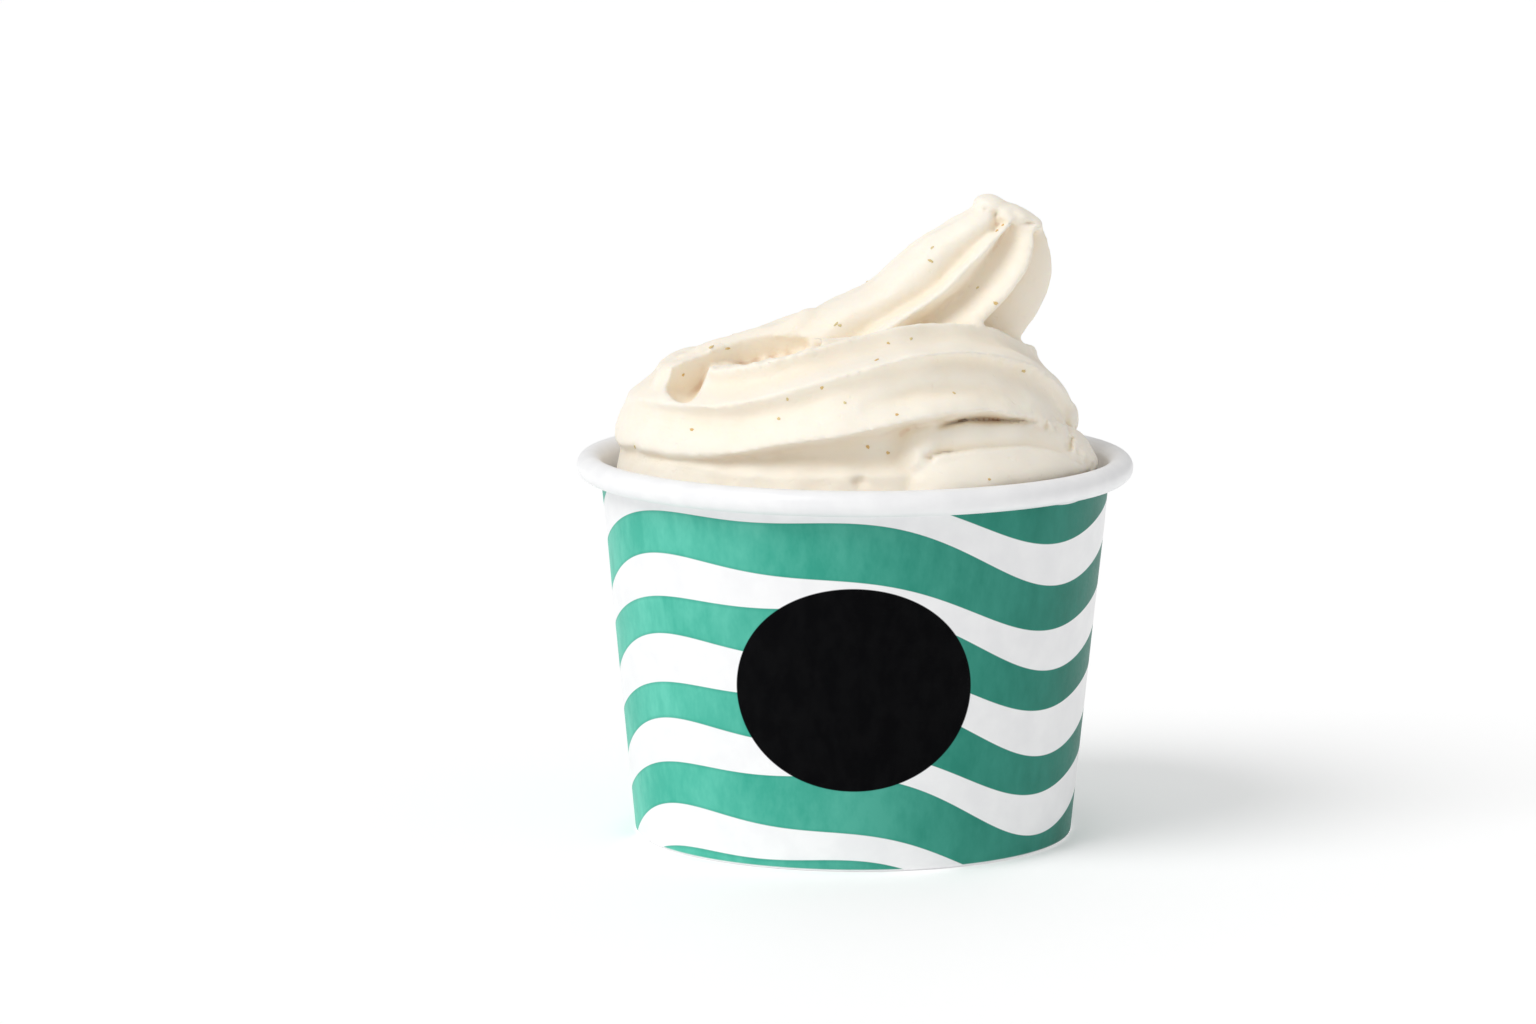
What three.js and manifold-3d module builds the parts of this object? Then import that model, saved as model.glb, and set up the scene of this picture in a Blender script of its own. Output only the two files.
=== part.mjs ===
// Frozen yogurt in a paper tub: a side wall with a rolled rim, a bottom disc set up inside it,
// and one body of soft yogurt that fills the tub and ends in a swirl with a leaning peak.
// Millimetres, +Z up. The tub stands on z = 0 with its axis on Z, and its front faces -Y.

import * as THREE from 'three';
import { ParametricGeometry } from 'three/addons/geometries/ParametricGeometry.js';
import { mergeVertices } from 'three/addons/utils/BufferGeometryUtils.js';
import Module from 'manifold-3d';

// Driving dimensions of the tub
const RIM_DIAMETER = 90;
const TUB_HEIGHT = 62;
const ROLL_RADIUS = 2.05;          // the curled rim, seen in section
const BASE_DIAMETER = 71;
const TOP_DIAMETER = 83;           // outside of the wall, if it went on up to TUB_HEIGHT
const BOARD = 0.45;                // thickness of the paper board
const HEM_HEIGHT = 5;              // the wall is folded in below the bottom disc
const HEM_THICKNESS = 1.2;
const HEM_ROUNDING = 0.9;
const CLEARANCE = 0.3;             // left between pieces that touch
const SEGMENTS = 64;               // facets round the tub

// Driving dimensions of the yogurt
const FILL_TOP = 50;               // below this the yogurt lies against the wall
const CORE = [[24, 56], [17, 66], [9, 76], [0, 78]];  // radius and height inside the ropes
const SWIRL_OFFSET = -1.2;         // middle of the swirl on top, along X
const SWIRL_SPLIT = -60;           // angle at which the swirl's two stretches meet
const PLUG_REACH = 12;             // how far, in degrees, the one reaches into the other
const PLUG_SCALE = 0.7;
const SWIRL_END_ROUNDING = 14;
const ROPE_FLUTES = 10;
const FLUTE_LEAN = 0.54;           // below 1 a flute is deepest just under its upper ridge

// Rope laid round the tub. A row gives, at an angle round the tub (0 is +X, -90 the front):
// height and reach of the rope's middle, its radius, how square its section is, the depth of its
// flutes, and where three neighbouring ridges lie on its section (0 is outwards, 90 is up).
const LAYER_ROWS = [
  [-200, 58.2, 24.6, 14.2, 0, 0.03, 64, 30, -4],
  [-170, 59.0, 24.5, 14.2, 0, 0.03, 64, 30, -4],
  [-140, 56.8, 24.5, 14.2, 0, 0.03, 64, 30, -4],
  [-128, 55.4, 24.5, 14.2, 0, 0.03, 64, 32, -4],
  [-90, 54.2, 24.7, 14.2, 0, 0.04, 70, 38, 2],
  [-30, 55.0, 24.6, 14.4, 0, 0.04, 68, 32, -4],
  [60, 56.0, 24.6, 14.4, 0, 0.10, 54, 20, -14],
  [160, 58.2, 24.6, 14.2, 0, 0.03, 64, 30, -4],
];
const SWIRL_ROWS = [
  [-310, 73.0, 5.0, 11.0, 0, 0.10, 150, 116, 82],
  [-280, 72.0, 9.5, 12.5, 0, 0.10, 130, 96, 62],
  [-250, 70.4, 13.5, 13.5, 0, 0.07, 112, 78, 44],
  [-225, 67.6, 17.5, 13.8, -0.3, 0.04, 97, 63, 29],
  [-205, 65.7, 20.8, 13.6, -0.6, 0.03, 84, 48, 14],
  [-180, 65.6, 23.9, 13.7, -0.6, 0.03, 62, 28, -5],
  [-157, 66.3, 23.4, 14.2, -0.2, 0.08, 52, 25, -7],
  [-140, 66.9, 22.8, 14.4, 0, 0.13, 48, 23.5, -10],
  [-125, 67.6, 22.7, 14.5, 0, 0.15, 50, 22.5, -9.5],
  [-112, 68.4, 22.7, 14.5, 0, 0.16, 56, 26.5, -5.5],
  [-92, 69.5, 22.7, 14.5, 0, 0.16, 74, 38.5, -0.5],
  [-70, 70.8, 22.7, 14.6, 0, 0.17, 84, 46, 6],
  [-44, 70.7, 22.7, 14.6, 0, 0.16, 82, 42.5, 2.5],
  [-29, 69.7, 22.5, 14.7, 0, 0.14, 74, 34.5, -6],
  [-10, 67.7, 22.1, 14.6, 0, 0.11, 62, 17, -24],
  [10, 65.9, 22.3, 14.9, 0, 0.10, 54, 6, -38],
  [60, 61.9, 22.4, 14.0, 0, 0.11, 19, -16, -51],
  [120, 58.0, 22.5, 14.0, 0, 0.11, 5, -30, -65],
];

// Two smooth ledges under the swirl at the right of the front: angle, height, reach and radius
const UPPER_LEDGE_ROWS = [
  [-84, 61.5, 29.6, 3.0],
  [-73, 64.9, 31.2, 4.2],
  [-42, 66.4, 32.2, 4.6],
  [-12, 65.8, 30.7, 4.4],
  [0, 64.8, 29.4, 4.1],
];
const LOWER_LEDGE_ROWS = [
  [-78, 60.0, 34.4, 3.9],
  [-62, 61.8, 34.9, 4.3],
  [-40, 62.9, 35.0, 4.3],
  [-22, 62.2, 35.0, 4.3],
  [4, 58.6, 34.6, 3.9],
];
const LEDGE = { square: 0.95, tilt: 35, endRounding: 4, fluteDepth: 0, ridges: [108, 72, 36] };

// Cuts of the swirl's section, as shares of its radius between angles round the tub and on the
// section: its top is torn away on the left, and at the front it draws back under a ridge
const TORN_TOP = { depth: 0.34, start: [-160, -146], end: -112, above: 56, back: [150, 180] };
const UNDERCUT = {
  depth: 0.14, start: [-165, -145], deepening: 0.20, deeper: [-84, -64], end: [4, 26],
  belowRidge: [0, 10], underside: [70, 110],
};

// The fold left standing behind the hollow: x, y, height of its crest, half its depth and half
// its height
const FOLD_ROWS = [
  [-34.0, -12.5, 72.0, 3.4, 5],
  [-32.0, -12.0, 76.8, 4.0, 6],
  [-28.5, -9.0, 78.5, 4.5, 6],
  [-18.3, -6.0, 82.2, 4.5, 6],
  [-7.9, -5.0, 86.0, 5.0, 8],
  [-3.0, -4.0, 87.0, 5.0, 9],
];
const FOLD_BLUNTNESS = 8;          // the more, the blunter its two ends

// The hollow torn out of the swirl on the left, open to the front: x, the heights of its torn
// lower edge and its lip, and the y of its wall. The heights hold at y = HOLLOW_EDGE.
const HOLLOW_ROWS = [
  [-30.4, 77.8, 77.8, -16.5],
  [-29.2, 74.2, 79.7, -15.4],
  [-27.0, 73.1, 80.8, -13.4],
  [-25.1, 74.0, 81.4, -12.0],
  [-23.2, 78.1, 81.8, -10.8],
  [-21.9, 79.2, 82.1, -10.0],
  [-16.9, 79.1, 83.5, -8.5],
  [-10.6, 80.7, 83.7, -8.3],
  [-3.6, 83.0, 83.0, -17.0],
];
const HOLLOW_EDGE = -25;
const HOLLOW_FRONT = -45;
const HOLLOW_FALL = 0.122;         // how far it falls for each millimetre to the back
const HOLLOW_OVERHANG = 0.3;       // how far its wall runs back for each millimetre down
const HOLLOW_CROWDING = 1.5;       // above 1 its slices crowd to the left

// The peak in level sections: height, x and y of its middle, half its width, half its depth, and
// the bearings of four neighbouring ridges; the others share the rest
const PEAK_ROWS = [
  [66.0, 7.0, -1.0, 19.0, 15.5, -167, -114, -68, -14],
  [78.0, 5.0, -1.0, 20.0, 15.5, -167, -114, -67, -13],
  [82.0, 7.7, -1.0, 19.7, 15.5, -168, -106, -61, -12],
  [86.0, 11.95, -1.5, 17.95, 14.5, -168, -102, -59, -9],
  [89.8, 16.4, -2.2, 14.8, 13.0, -166, -100, -54, -6],
  [93.7, 18.7, -3.0, 12.8, 11.0, -164, -94, -45, -4],
  [97.9, 20.7, -3.7, 9.8, 8.0, -156, -80, -34, -2],
  [99.8, 21.85, -4.0, 7.9, 6.6, -146, -70, -34, 2],
  [101.6, 22.6, -4.2, 5.8, 5.0, -136, -64, -32, 6],
  [104.0, 21.9, -4.5, 2.6, 2.6, -136, -64, -32, 6],
];
const PEAK_FLUTES = 8;
const PEAK_RISE = 0.7;             // below 1 the sections crowd towards the tip
// Depth of the valley after each ridge, at the foot and at the tip, and its lean
const PEAK_VALLEYS = [
  [0.23, 0.34, 2.2], [0.34, 0.50, 0.8], [0.30, 0.46, 0.8], [0.12, 0.22, 1.0],
  [0.12, 0.18, 1.0], [0.12, 0.18, 1.0], [0.12, 0.18, 1.0], [0.06, 0.1, 1.0],
];
const PEAK_LIFTED = [80, 99];      // heights between which the foot's valleys turn into the tip's
const PEAK_ROUNDNESS = 1.7;        // above 1 its ridges are rounded off

const wasm = await Module();
wasm.setup();

const { degToRad, clamp, lerp, smoothstep } = THREE.MathUtils;

// A three.js geometry as a closed manifold-3d solid
function solidOf(geometry) {
  geometry.deleteAttribute('normal');
  geometry.deleteAttribute('uv');
  const merged = mergeVertices(geometry, 1e-4);
  const corners = merged.index.array;
  const triangles = [];
  for (let i = 0; i < corners.length; i += 3) {
    const [a, b, c] = [corners[i], corners[i + 1], corners[i + 2]];
    if (a !== b && b !== c && c !== a) triangles.push(a, b, c);
  }
  return new wasm.Manifold(new wasm.Mesh({
    numProp: 3,
    vertProperties: merged.attributes.position.array,
    triVerts: new Uint32Array(triangles),
  }));
}

// A manifold-3d solid as a named mesh
function meshOf(solid, name, material) {
  const { vertProperties, triVerts } = solid.getMesh();
  const geometry = new THREE.BufferGeometry();
  geometry.setAttribute('position', new THREE.BufferAttribute(vertProperties, 3));
  geometry.setIndex(new THREE.BufferAttribute(triVerts, 1));
  geometry.computeVertexNormals();
  const mesh = new THREE.Mesh(geometry, material);
  mesh.name = name;
  return mesh;
}

// A profile of [radius, height] turned round Z
function turned(profile) {
  const lathe = new THREE.LatheGeometry(profile.map(([r, z]) => new THREE.Vector2(r, z)), SEGMENTS);
  return lathe.rotateX(Math.PI / 2);
}

// Points of an arc in a profile, from one angle to another
function arc(radius, height, size, from, to, steps) {
  return Array.from({ length: steps + 1 }, (_, i) => {
    const angle = degToRad(from + (to - from) * i / steps);
    return [radius + size * Math.cos(angle), height + size * Math.sin(angle)];
  });
}

// Outside radius of the tub's wall at a height
function wallRadius(height) {
  return (BASE_DIAMETER + (TOP_DIAMETER - BASE_DIAMETER) * height / TUB_HEIGHT) / 2;
}

// Side wall: straight taper, rim rolled outwards over the top, hem folded in at the foot
function cupWall() {
  const rollHeight = TUB_HEIGHT - ROLL_RADIUS;
  const rollMiddle = RIM_DIAMETER / 2 - ROLL_RADIUS;
  const rollStart = -150;
  const hemInside = wallRadius(0) - HEM_THICKNESS;
  return turned([
    [hemInside, 0],
    ...arc(wallRadius(0) - HEM_ROUNDING, HEM_ROUNDING, HEM_ROUNDING, -90, 0, 3),
    ...arc(rollMiddle, rollHeight, ROLL_RADIUS, rollStart, 180, 11),
    [wallRadius(HEM_HEIGHT) - BOARD, HEM_HEIGHT],
    [wallRadius(HEM_HEIGHT) - HEM_THICKNESS, HEM_HEIGHT],
    [hemInside, 0],
  ]);
}

// Bottom disc, resting on the hem
function cupFloor() {
  const underside = HEM_HEIGHT + CLEARANCE;
  const top = underside + BOARD;
  const radius = wallRadius(underside) - BOARD - CLEARANCE;
  return turned([[0, underside], [radius, underside], [radius, top], [0, top]]);
}

// What fills the tub, from the bottom disc up into the core of the layer and the swirl
function fill() {
  const bottom = HEM_HEIGHT + BOARD + 2 * CLEARANCE;
  const beside = (height) => wallRadius(height) - BOARD - CLEARANCE;
  return turned([
    [0, bottom],
    [beside(bottom), bottom],
    [beside(FILL_TOP), FILL_TOP],
    ...CORE,
  ]);
}

// Value of a column of a table at an angle: a Catmull-Rom curve through the rows, level at the ends
function track(rows, column, angle) {
  const last = rows.length - 1;
  const at = clamp(angle, rows[0][0], rows[last][0]);
  const i = Math.min(rows.findLastIndex((row) => row[0] <= at), last - 1);
  const slope = (k) => ((k <= 0 || k >= last) ? 0
    : (rows[k + 1][column] - rows[k - 1][column]) / (rows[k + 1][0] - rows[k - 1][0]));
  const span = rows[i + 1][0] - rows[i][0];
  const t = (at - rows[i][0]) / span;
  return (2 * t ** 3 - 3 * t ** 2 + 1) * rows[i][column] + (t ** 3 - 2 * t ** 2 + t) * span * slope(i)
    + (3 * t ** 2 - 2 * t ** 3) * rows[i + 1][column] + (t ** 3 - t ** 2) * span * slope(i + 1);
}

// Share of the radius that is left of the swirl's section, at an angle round the tub, a bearing on
// the section and an angle below its third ridge
function tornAway(angle, bearing, below) {
  const top = bearing > TORN_TOP.above
    ? TORN_TOP.depth * smoothstep(angle, ...TORN_TOP.start) * (angle < TORN_TOP.end)
      * (1 - smoothstep(bearing, ...TORN_TOP.back))
    : 0;
  const under = UNDERCUT.depth * smoothstep(angle, ...UNDERCUT.start)
    + UNDERCUT.deepening * smoothstep(angle, ...UNDERCUT.deeper);
  return 1 - top - under * (1 - smoothstep(angle, ...UNDERCUT.end))
    * smoothstep(below, ...UNDERCUT.belowRidge) * (1 - smoothstep(below, ...UNDERCUT.underside));
}

// Where the ridges lie: the first are given, the others share the rest of the round evenly
function ridgesOf(given, flutes, turn) {
  const shared = flutes - given.length + 1;
  const last = given[given.length - 1];
  const rest = Array.from({ length: shared }, (_, i) => (
    last + (given[0] + turn - last) * (i + 1) / shared));
  return [...given, ...rest];
}

// Bearing at a part of a round of fluted section, and how deep in its flute that is, from 0 to 1
function flute(ridges, flutes, part, leanOf) {
  const first = Math.min(Math.floor(part * flutes), flutes - 1);
  const within = part * flutes - first;
  const valley = Math.sin(Math.PI * within ** leanOf(first));
  return [lerp(ridges[first], ridges[first + 1], within), valley, first];
}

// Fluted rope laid round the tub, as a point for each angle round the tub and each part of a round
// of its section. The section is a circle with its flutes, drawn out to a square and cut.
function ropePoint(rope, angle, part, scale, target) {
  const [height, reach, radius, square, depth, ...given] = rope.rows[0].slice(1)
    .map((_, k) => track(rope.rows, k + 1, angle));
  const ridges = ridgesOf(given, ROPE_FLUTES, -360);
  const [bearing, valley] = flute(ridges, ROPE_FLUTES, part, () => FLUTE_LEAN);
  const onSquare = degToRad(bearing - rope.tilt);
  const squared = (Math.cos(onSquare) ** 4 + Math.sin(onSquare) ** 4) ** (-square / 4);
  const size = scale * radius * (1 - depth * valley) * squared
    * rope.cut(angle, bearing, given[2] - bearing);
  const out = reach + size * Math.cos(degToRad(bearing));
  target.set(
    rope.offset + out * Math.cos(degToRad(angle)),
    out * Math.sin(degToRad(angle)),
    height + size * Math.sin(degToRad(bearing)),
  );
}

// Evenly spaced [angle, scale] stations along a rope, rounded off towards its own two ends
function stations(rope, from, to, count) {
  const [first, last] = [rope.rows[0], rope.rows[rope.rows.length - 1]];
  return Array.from({ length: count + 1 }, (_, i) => {
    const angle = from + (to - from) * i / count;
    const fromEnd = degToRad(Math.min((angle - first[0]) * first[2], (last[0] - angle) * last[2]));
    return [angle, Math.sqrt(1 - (1 - clamp(fromEnd / rope.endRounding, 0, 1)) ** 2)];
  });
}

// A stretch of rope through its stations, of which the first and the last have a scale of 0
function stretchOf(rope, stretch, around) {
  const point = (u, v, target) => {
    const [angle, scale] = stretch[Math.round(u * (stretch.length - 1))];
    ropePoint(rope, angle, 1 - v, scale, target);
  };
  return new ParametricGeometry(point, stretch.length - 1, around);
}

// The layer at the rim: one turn of rope that closes on itself
function layer(steps, around) {
  const rope = { rows: LAYER_ROWS, offset: 0, tilt: 0, cut: () => 1 };
  const [from, to] = [LAYER_ROWS[0][0], LAYER_ROWS[LAYER_ROWS.length - 1][0]];
  const point = (u, v, target) => ropePoint(rope, from + (to - from) * u, 1 - v, 1, target);
  return new ParametricGeometry(point, steps, around);
}

// A smooth ledge: a short squarish rope
function ledge(rows, steps, around) {
  const { square, tilt, endRounding, fluteDepth, ridges } = LEDGE;
  const rope = {
    rows: rows.map((row) => [...row, square, fluteDepth, ...ridges]),
    offset: 0, tilt, endRounding, cut: () => 1,
  };
  return stretchOf(rope, stations(rope, rows[0][0], rows[rows.length - 1][0], steps), around);
}

// The fold: upright ellipses across X, which shrink to nothing at both ends
function fold(steps, around) {
  const [from, to] = [FOLD_ROWS[0][0], FOLD_ROWS[FOLD_ROWS.length - 1][0]];
  const point = (u, v, target) => {
    const x = from + (to - from) * u;
    const [y, crest, halfDepth, halfHeight] = [1, 2, 3, 4].map((k) => track(FOLD_ROWS, k, x));
    const scale = Math.sqrt(1 - (2 * u - 1) ** FOLD_BLUNTNESS);
    const turn = 2 * Math.PI * (1 - v);
    target.set(
      x,
      y + halfDepth * scale * Math.cos(turn),
      crest - halfHeight + halfHeight * scale * Math.sin(turn),
    );
  };
  return new ParametricGeometry(point, steps, around);
}

// What is torn out: slices across X with a wall in some steps, and two corners at the front
function hollow(steps, wallSteps) {
  const [from, to] = [HOLLOW_ROWS[0][0], HOLLOW_ROWS[HOLLOW_ROWS.length - 1][0]];
  const around = wallSteps + 3;
  const point = (u, v, target) => {
    const x = from + (to - from) * u ** HOLLOW_CROWDING;
    const [low, high, wall] = [1, 2, 3].map((k) => track(HOLLOW_ROWS, k, x));
    const step = Math.round((1 - v) * around) % around;
    const part = step === around - 1 ? 0 : Math.min(step / wallSteps, 1);
    const height = lerp(low, high, part);
    const y = step > wallSteps ? HOLLOW_FRONT : wall + HOLLOW_OVERHANG * (high - height);
    target.set(x, y, height - HOLLOW_FALL * (y - HOLLOW_EDGE));
  };
  return new ParametricGeometry(point, steps, around);
}

// The peak: level sections from its root up to its tip, both closed
function peak(steps, around) {
  const [bottom, top] = [PEAK_ROWS[0][0], PEAK_ROWS[PEAK_ROWS.length - 1][0]];
  const point = (u, v, target) => {
    const step = Math.round(u * (steps + 2));
    const height = bottom + (top - bottom) * clamp((step - 1) / steps, 0, 1) ** PEAK_RISE;
    const [x, y, halfWidth, halfDepth, ...given] = PEAK_ROWS[0].slice(1)
      .map((_, k) => track(PEAK_ROWS, k + 1, height));
    const ridges = ridgesOf(given, PEAK_FLUTES, 360);
    const [bearing, valley, first] = flute(ridges, PEAK_FLUTES, 1 - v, (k) => PEAK_VALLEYS[k][2]);
    const depth = lerp(PEAK_VALLEYS[first][0], PEAK_VALLEYS[first][1], smoothstep(height, ...PEAK_LIFTED));
    const size = step === 0 || step === steps + 2 ? 0 : 1 - depth * valley ** PEAK_ROUNDNESS;
    target.set(
      x + halfWidth * size * Math.cos(degToRad(bearing)),
      y + halfDepth * size * Math.sin(degToRad(bearing)),
      height,
    );
  };
  return new ParametricGeometry(point, steps + 2, around);
}

// All the yogurt as one body. The swirl laps over itself, so it is made in two stretches, of which
// the second reaches into the first with a plug. Of what comes of it only the outer skin is kept,
// so that gaps shut in between the parts are filled.
function yogurt() {
  const rope = {
    rows: SWIRL_ROWS, offset: SWIRL_OFFSET, tilt: 0, endRounding: SWIRL_END_ROUNDING, cut: tornAway,
  };
  const [end, start] = [SWIRL_ROWS[0][0], SWIRL_ROWS[SWIRL_ROWS.length - 1][0]];
  const plug = SWIRL_SPLIT - PLUG_REACH;
  const upper = [[end, 0], ...stations(rope, end, SWIRL_SPLIT, 36), [SWIRL_SPLIT, 0]];
  const lower = [[plug, 0], [plug, PLUG_SCALE], ...stations(rope, SWIRL_SPLIT, start, 22), [start, 0]];
  const parts = [
    layer(44, 30), stretchOf(rope, upper, 40), stretchOf(rope, lower, 40),
    ledge(UPPER_LEDGE_ROWS, 16, 20), ledge(LOWER_LEDGE_ROWS, 16, 20), fold(12, 16), peak(16, 48),
  ];
  const whole = parts.map(solidOf).reduce((sum, part) => sum.add(part), solidOf(fill()));
  const skins = whole.subtract(solidOf(hollow(14, 4))).decompose();
  return skins.reduce((outer, skin) => (skin.volume() > outer.volume() ? skin : outer));
}

const board = new THREE.MeshStandardMaterial({ color: 0xf3f3f5, roughness: 0.45, metalness: 0 });
const cream = new THREE.MeshStandardMaterial({ color: 0xf5ead6, roughness: 0.55, metalness: 0 });

const tub = new THREE.Group();
tub.add(meshOf(solidOf(cupWall()), 'cup_wall', board));
tub.add(meshOf(solidOf(cupFloor()), 'cup_floor', board.clone()));
tub.add(meshOf(yogurt(), 'frozen_yogurt', cream));

export default tub;
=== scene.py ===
import bpy
import numpy as np
from mathutils import Matrix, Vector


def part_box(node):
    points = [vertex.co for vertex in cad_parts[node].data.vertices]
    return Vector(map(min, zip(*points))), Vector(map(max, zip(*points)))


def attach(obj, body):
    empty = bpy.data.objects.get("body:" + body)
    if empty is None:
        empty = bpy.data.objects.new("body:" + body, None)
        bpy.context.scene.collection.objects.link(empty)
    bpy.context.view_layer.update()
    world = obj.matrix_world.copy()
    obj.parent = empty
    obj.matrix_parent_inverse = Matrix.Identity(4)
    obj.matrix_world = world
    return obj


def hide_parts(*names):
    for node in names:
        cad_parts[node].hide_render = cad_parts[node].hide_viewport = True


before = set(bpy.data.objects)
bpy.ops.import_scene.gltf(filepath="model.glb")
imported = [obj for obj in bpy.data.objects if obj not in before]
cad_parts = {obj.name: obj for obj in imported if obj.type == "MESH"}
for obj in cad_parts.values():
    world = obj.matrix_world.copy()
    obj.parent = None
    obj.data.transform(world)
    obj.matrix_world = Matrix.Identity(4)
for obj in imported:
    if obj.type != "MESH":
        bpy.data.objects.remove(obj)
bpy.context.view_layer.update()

MM = 0.001                                   # shapes below are worked out in millimetres


# Bottom disc. A round of plain white paper board, set up inside the foot of the tub and held by
# the hem of the side wall. The press that set it has bowed it and left faint rings in it.

def new_piece(name, corners, faces, material=None):
    """Smooth-shaded object of corners in millimetres and the faces between them."""
    mesh = bpy.data.meshes.new(name)
    mesh.from_pydata((np.asarray(corners) * MM).tolist(), [], faces)
    mesh.shade_smooth()
    if material:
        mesh.materials.append(material)
    piece = bpy.data.objects.new(name, mesh)
    bpy.context.scene.collection.objects.link(piece)
    return piece


def grid_mesh(name, points, material=None):
    """Closed mesh of a grid of points in millimetres. A row runs once around and joins its own
    start; the first and the last row are each closed with a fan to their middle."""
    rows, columns = points.shape[:2]
    corner = np.arange(rows * columns).reshape(rows, columns)
    corner = np.concatenate([corner, corner[:, :1]], axis=1)
    quads = np.stack([corner[:-1, :-1], corner[:-1, 1:], corner[1:, 1:], corner[1:, :-1]], -1)
    first = np.full(columns, rows * columns)
    fans = [np.stack([corner[0, 1:], corner[0, :-1], first], -1),
            np.stack([corner[-1, :-1], corner[-1, 1:], first + 1], -1)]
    middles = np.stack([points[0].mean(0), points[-1].mean(0)])
    corners = np.concatenate([points.reshape(-1, 3), middles])
    faces = quads.reshape(-1, 4).tolist() + fans[0].tolist() + fans[1].tolist()
    return new_piece(name, corners, faces, material)


def turned(profile, angles):
    """Surface of revolution: each (radius, height) of the profile is carried round Z through the
    angles, x = r cos a, y = r sin a, z = h."""
    radius, height = (np.asarray(profile, float)[:, k, None] for k in (0, 1))
    return np.stack([radius * np.cos(angles), radius * np.sin(angles),
                     np.broadcast_to(height, (len(profile), len(angles)))], -1)


def new_material(name, colour, roughness, **values):
    """Material with one Principled shader; further values are set on its sockets by name."""
    material = bpy.data.materials.new(name)
    material.use_nodes = True
    shader = material.node_tree.nodes["Principled BSDF"]
    shader.inputs["Base Color"].default_value = (*colour, 1)
    shader.inputs["Roughness"].default_value = roughness
    for socket, value in values.items():
        shader.inputs[socket.replace("_", " ")].default_value = value
    return material, material.node_tree, shader


def node(tree, kind, inputs=(), **settings):
    """A node of that kind, with its settings; inputs are numbers, colours or other sockets."""
    made = tree.nodes.new("ShaderNode" + kind)
    for key, value in settings.items():
        setattr(made, key, value)
    for key, value in dict(inputs).items():
        if isinstance(value, bpy.types.NodeSocket):
            tree.links.new(value, made.inputs[key])
        else:
            made.inputs[key].default_value = value
    return made


def maths(tree, operation, *values, clamp=False):
    """The result of one Math node, such as "SINE" or "ADD"."""
    return node(tree, "Math", enumerate(values), operation=operation, use_clamp=clamp).outputs[0]


def noise(tree, place, scale, detail=2.0, stretch=(1, 1, 1), roughness=0.5):
    """Noise texture with scale features to a metre, squeezed by stretch along the axes."""
    mapped = node(tree, "Mapping", {"Vector": place, "Scale": stretch}).outputs[0]
    return node(tree, "TexNoise", {"Vector": mapped, "Scale": scale, "Detail": detail,
                                   "Roughness": roughness}).outputs["Fac"]


def span(tree, value, from_low, from_high, to_low=0.0, to_high=1.0):
    """The value taken in a straight line from one range to another, held at its ends."""
    return node(tree, "MapRange", {"Value": value, "From Min": from_low, "From Max": from_high,
                                   "To Min": to_low, "To Max": to_high}).outputs[0]


def blended(tree, factor, first, second, mode="MIX"):
    """Two colours mixed by a factor."""
    mix = node(tree, "Mix", data_type="RGBA", blend_type=mode)
    for socket, value in ((mix.inputs[0], factor), (mix.inputs[6], first), (mix.inputs[7], second)):
        if isinstance(value, bpy.types.NodeSocket):
            tree.links.new(value, socket)
        else:
            socket.default_value = value
    return mix.outputs[2]


def mottled(tree, value, low, high, first, second):
    """The first colour where the value is low or less and the second where it is high or more,
    mixed in a straight line between."""
    return blended(tree, span(tree, value, low, high), first, second)


def relief(tree, shader, heights):
    """Bump on a shader from (height socket, depth in millimetres) pairs, added together."""
    total = None
    for height, depth in heights:
        scaled = maths(tree, "MULTIPLY", height, depth * MM)
        total = scaled if total is None else maths(tree, "ADD", total, scaled)
    bump = node(tree, "Bump", {"Strength": 1.0, "Distance": 1.0, "Height": total})
    tree.links.new(bump.outputs[0], shader.inputs["Normal"])


def board_fibres(tree, place):
    """Faint cloudy fibres of paper board, as the sum of a coarse and a fine noise."""
    coarse = noise(tree, place, 900, detail=3)
    fine = noise(tree, place, 4200, detail=2)
    return maths(tree, "ADD", coarse, maths(tree, "MULTIPLY", fine, 0.5))


def add_to_tub(piece, slot, *cad_nodes):
    """Rides on the tub's one body and stands for CAD nodes, which it hides. The slot is not used."""
    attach(piece, "root")
    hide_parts(*cad_nodes)


disc_low, disc_high = (np.array(corner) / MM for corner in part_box("cup_floor"))
disc_radius = disc_high[0]
disc_rounding = (disc_high[2] - disc_low[2]) / 2
disc_bow = 0.09                              # how far the middle stands up
ring_spacing, ring_depth = 2.2, 0.03         # of the press marks
rings_start, rings_full = 26.0, 30.0         # radii between which they set in

disc_material, disc_tree, disc_shader = new_material(
    "plain board", (0.83, 0.82, 0.79), 0.62, Specular_IOR_Level=0.35)
disc_place = node(disc_tree, "TexCoord").outputs["Object"]
disc_tone = mottled(disc_tree, noise(disc_tree, disc_place, 260, 4), 0.35, 0.65,
                    (0.80, 0.79, 0.755, 1), (0.86, 0.85, 0.82, 1))
disc_tree.links.new(disc_tone, disc_shader.inputs["Base Color"])
relief(disc_tree, disc_shader, [(board_fibres(disc_tree, disc_place), 0.02)])

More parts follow.
